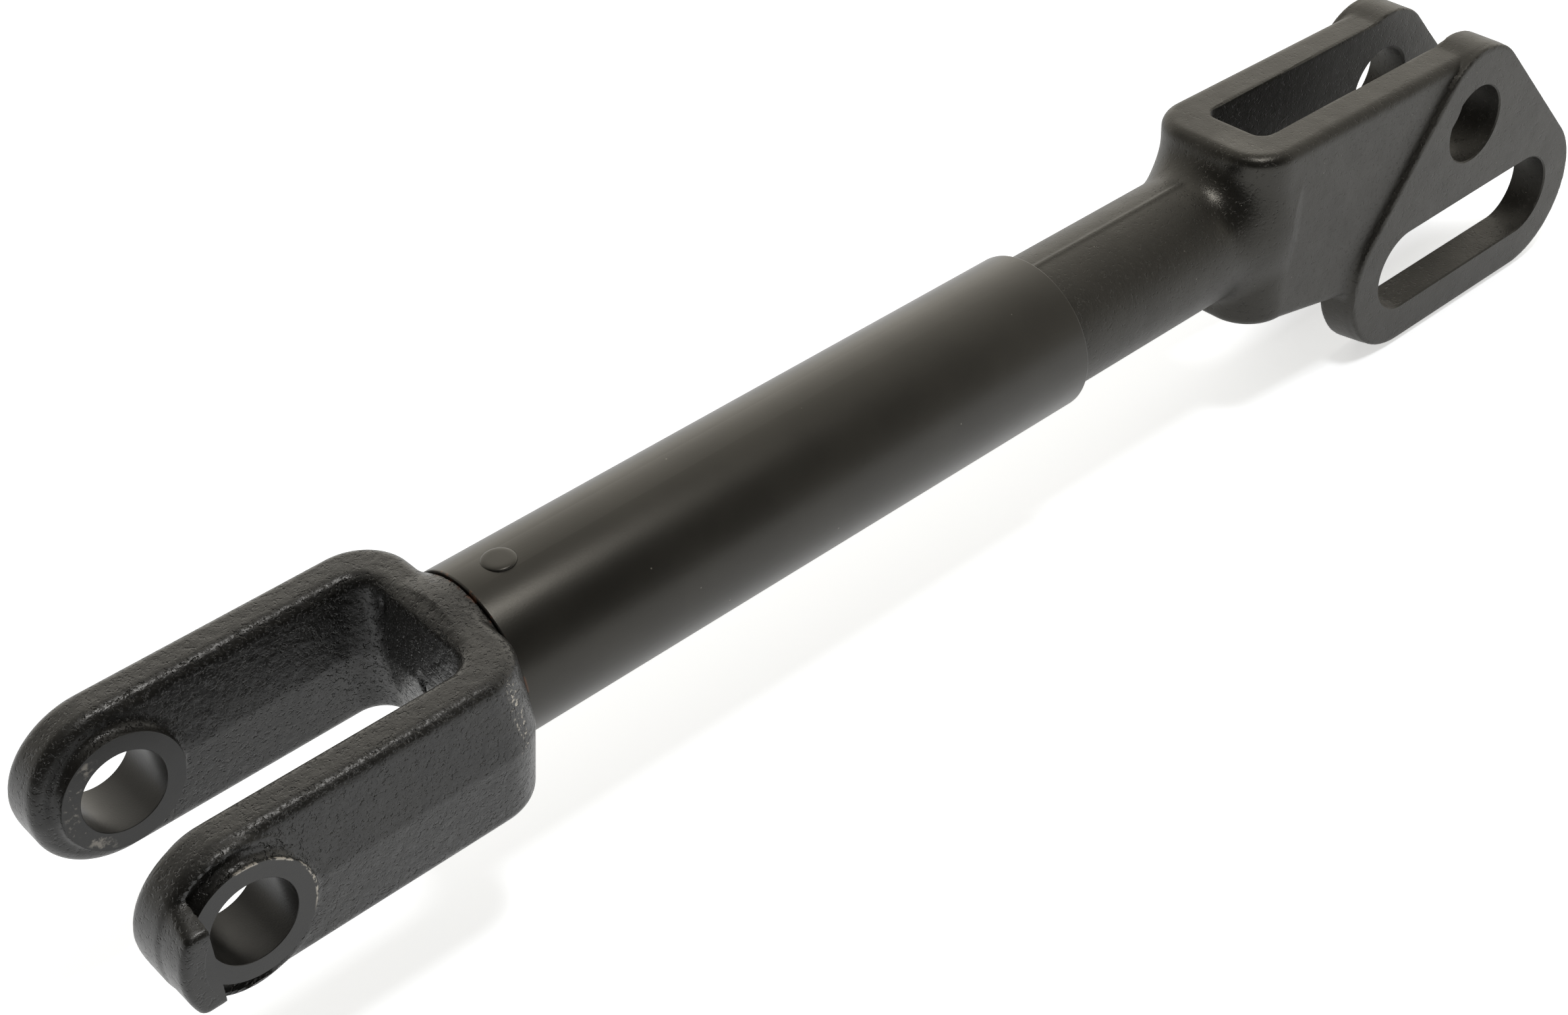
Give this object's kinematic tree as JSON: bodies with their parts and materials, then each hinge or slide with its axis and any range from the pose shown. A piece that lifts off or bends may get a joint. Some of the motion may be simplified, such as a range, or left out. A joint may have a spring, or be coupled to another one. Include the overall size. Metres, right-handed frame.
{
  "type": "adjustable lift rod",
  "caption": "Black forged lift rod with a wide lug fork, a screw-adjusted swivelling sleeve and a clevis with a float slot.",
  "frame": {"origin": "middle of the wide fork's pin hole, on the rod's centreline", "axes": "+X along the rod from the fork to the clevis, Y along the pin holes with the pin head lug at -Y, +Z away from the float slot"},
  "size_m": [0.6178, 0.0928, 0.1085],
  "materials": {
    "fork_paint": "gloss black over a pitted forging",
    "sleeve_paint": "satin black over smooth drawn tube",
    "clevis_paint": "satin black over a fine-grained forging",
    "seal_rubber": "moulded nitrile",
    "ball_steel": "ground bearing steel",
    "ring_steel": "oiled spring steel"
  },
  "bodies": {
    "fork": {"arm_fork": "fork_paint", "spigot_seal": "seal_rubber"},
    "race": {"race_balls": "ball_steel"},
    "sleeve": {"sleeve_tube": "sleeve_paint", "race_plug": "sleeve_paint", "thread_wiper": "seal_rubber"},
    "clevis": {"float_clevis": "clevis_paint", "stop_ring": "ring_steel"}
  },
  "joints": [
    {"name": "sleeve_turn", "type": "hinge", "parent": "fork", "child": "sleeve", "pos_m": [0.111, 0, 0], "axis": [-1, 0, 0], "range_deg": [0, 8640]},
    {"name": "race_orbit", "type": "hinge", "parent": "fork", "child": "race", "pos_m": [0.111, 0, 0], "axis": [-1, 0, 0], "range_deg": [0, 4320]},
    {"name": "length_adjust", "type": "slide", "parent": "fork", "child": "clevis", "axis": [1, 0, 0], "range_m": [0, 0.072]}
  ],
  "couplings": [
    {"joint": "race_orbit", "follows": "sleeve_turn", "ratio": 0.5},
    {"joint": "length_adjust", "follows": "sleeve_turn", "m_per_rad": 0.00047746}
  ]
}
